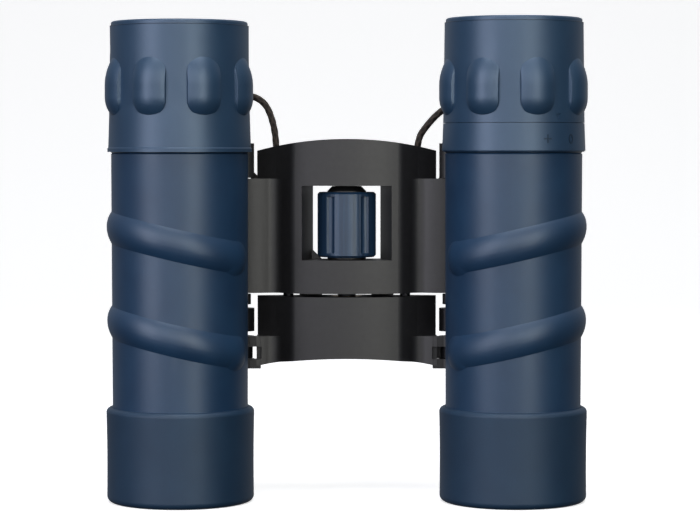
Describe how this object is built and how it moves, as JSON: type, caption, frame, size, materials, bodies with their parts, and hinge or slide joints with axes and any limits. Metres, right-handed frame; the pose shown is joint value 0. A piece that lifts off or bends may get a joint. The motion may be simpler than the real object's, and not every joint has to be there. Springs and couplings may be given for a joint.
{
  "type": "binoculars",
  "caption": "Compact folding binoculars: two rubber-armoured barrels hinged to a bridge with a focus wheel and slider, a dioptre eyecup and a neck cord.",
  "frame": {"origin": "centre of the footprint, level with the lower faces of the objective rings", "axes": "+X from the left barrel to the right one, +Y from the underside with the arched bridge face to the side with the hinges and cover, +Z from the objectives up to the eyepieces, along the optical axes"},
  "size_m": [0.1099, 0.0452, 0.11],
  "materials": {
    "armour_rubber": "matt, finely grained, dark slate blue",
    "bridge_shell": "satin black, finely textured",
    "barrel_shell": "satin black",
    "wheel_rubber": "satin, dark slate blue",
    "optical_glass": "polished, coated",
    "black_aluminium": "black anodised",
    "steel": "ground",
    "brass": "turned",
    "cord_fabric": "braided, black-brown",
    "tie_plastic": "matt black"
  },
  "bodies": {
    "bridge": {"bridge_front_shell": "bridge_shell", "bridge_back_cover": "bridge_shell", "hinge_pin_left": "steel", "hinge_pin_right": "steel", "guide_rods": "steel", "shaft_bush_upper": "brass", "shaft_bush_lower": "brass", "neck_cord_left": "cord_fabric", "neck_cord_right": "cord_fabric", "neck_cord_coil": "cord_fabric", "cord_knots": "cord_fabric", "cord_tie": "tie_plastic"},
    "focus_wheel": {"focus_wheel_hub": "bridge_shell", "focus_wheel_grip": "wheel_rubber", "focus_screw": "steel"},
    "focus_slider": {"slider_front_shell": "bridge_shell", "slider_back_cover": "bridge_shell", "slider_nut": "brass", "slider_pin_left": "steel", "slider_pin_right": "steel"},
    "left_barrel": {"left_housing": "barrel_shell", "left_armour": "armour_rubber", "left_objective_ring": "armour_rubber", "left_prism_holder": "barrel_shell", "left_half_penta_prism": "optical_glass", "left_schmidt_prism": "optical_glass", "left_eyepiece_tube": "barrel_shell", "left_eye_lens": "optical_glass", "left_field_lens": "optical_glass", "left_field_stop": "black_aluminium", "left_eye_retainer": "black_aluminium", "left_eyecup": "armour_rubber"},
    "left_objective_cell": {"left_objective_cell": "black_aluminium", "left_objective_crown": "optical_glass", "left_objective_flint": "optical_glass", "left_objective_retainer": "black_aluminium"},
    "right_barrel": {"right_housing": "barrel_shell", "right_armour": "armour_rubber", "right_objective_ring": "armour_rubber", "right_prism_holder": "barrel_shell", "right_half_penta_prism": "optical_glass", "right_schmidt_prism": "optical_glass", "right_dioptre_base_ring": "armour_rubber"},
    "right_objective_cell": {"right_objective_cell": "black_aluminium", "right_objective_crown": "optical_glass", "right_objective_flint": "optical_glass", "right_objective_retainer": "black_aluminium"},
    "right_dioptre": {"right_dioptre_eyecup": "armour_rubber"},
    "right_ocular": {"right_eyepiece_tube": "barrel_shell", "right_eye_lens": "optical_glass", "right_field_lens": "optical_glass", "right_field_stop": "black_aluminium", "right_eye_retainer": "black_aluminium"}
  },
  "joints": [
    {"name": "left_fold", "type": "hinge", "parent": "bridge", "child": "left_barrel", "pos_m": [-0.024, 0.0106, 0.06], "axis": [0, 0, 1], "range_deg": [0, 55]},
    {"name": "right_fold", "type": "hinge", "parent": "bridge", "child": "right_barrel", "pos_m": [0.024, 0.0106, 0.06], "axis": [0, 0, -1], "range_deg": [0, 55]},
    {"name": "focus_turn", "type": "hinge", "parent": "bridge", "child": "focus_wheel", "pos_m": [0, 0.0115, 0.0632], "axis": [0, 0, 1], "range_deg": [0, 450]},
    {"name": "focus_travel", "type": "slide", "parent": "bridge", "child": "focus_slider", "axis": [0, 0, -1], "range_m": [0, 0.004]},
    {"name": "left_objective_travel", "type": "slide", "parent": "left_barrel", "child": "left_objective_cell", "axis": [0, 0, -1], "range_m": [0, 0.004]},
    {"name": "right_objective_travel", "type": "slide", "parent": "right_barrel", "child": "right_objective_cell", "axis": [0, 0, -1], "range_m": [0, 0.004]},
    {"name": "dioptre_turn", "type": "hinge", "parent": "right_barrel", "child": "right_dioptre", "pos_m": [0.038, -0.0012, 0.098], "axis": [0, 0, 1], "range_deg": [-60, 60]},
    {"name": "dioptre_travel", "type": "slide", "parent": "right_barrel", "child": "right_ocular", "axis": [0, 0, 1], "range_m": [-0.0006, 0.0006]}
  ],
  "couplings": [
    {"joint": "focus_turn", "follows": "focus_travel", "rad_per_m": 1963.5},
    {"joint": "left_objective_travel", "follows": "focus_travel", "ratio": 1},
    {"joint": "right_objective_travel", "follows": "focus_travel", "ratio": 1},
    {"joint": "dioptre_travel", "follows": "dioptre_turn", "m_per_rad": 0.00057296}
  ]
}
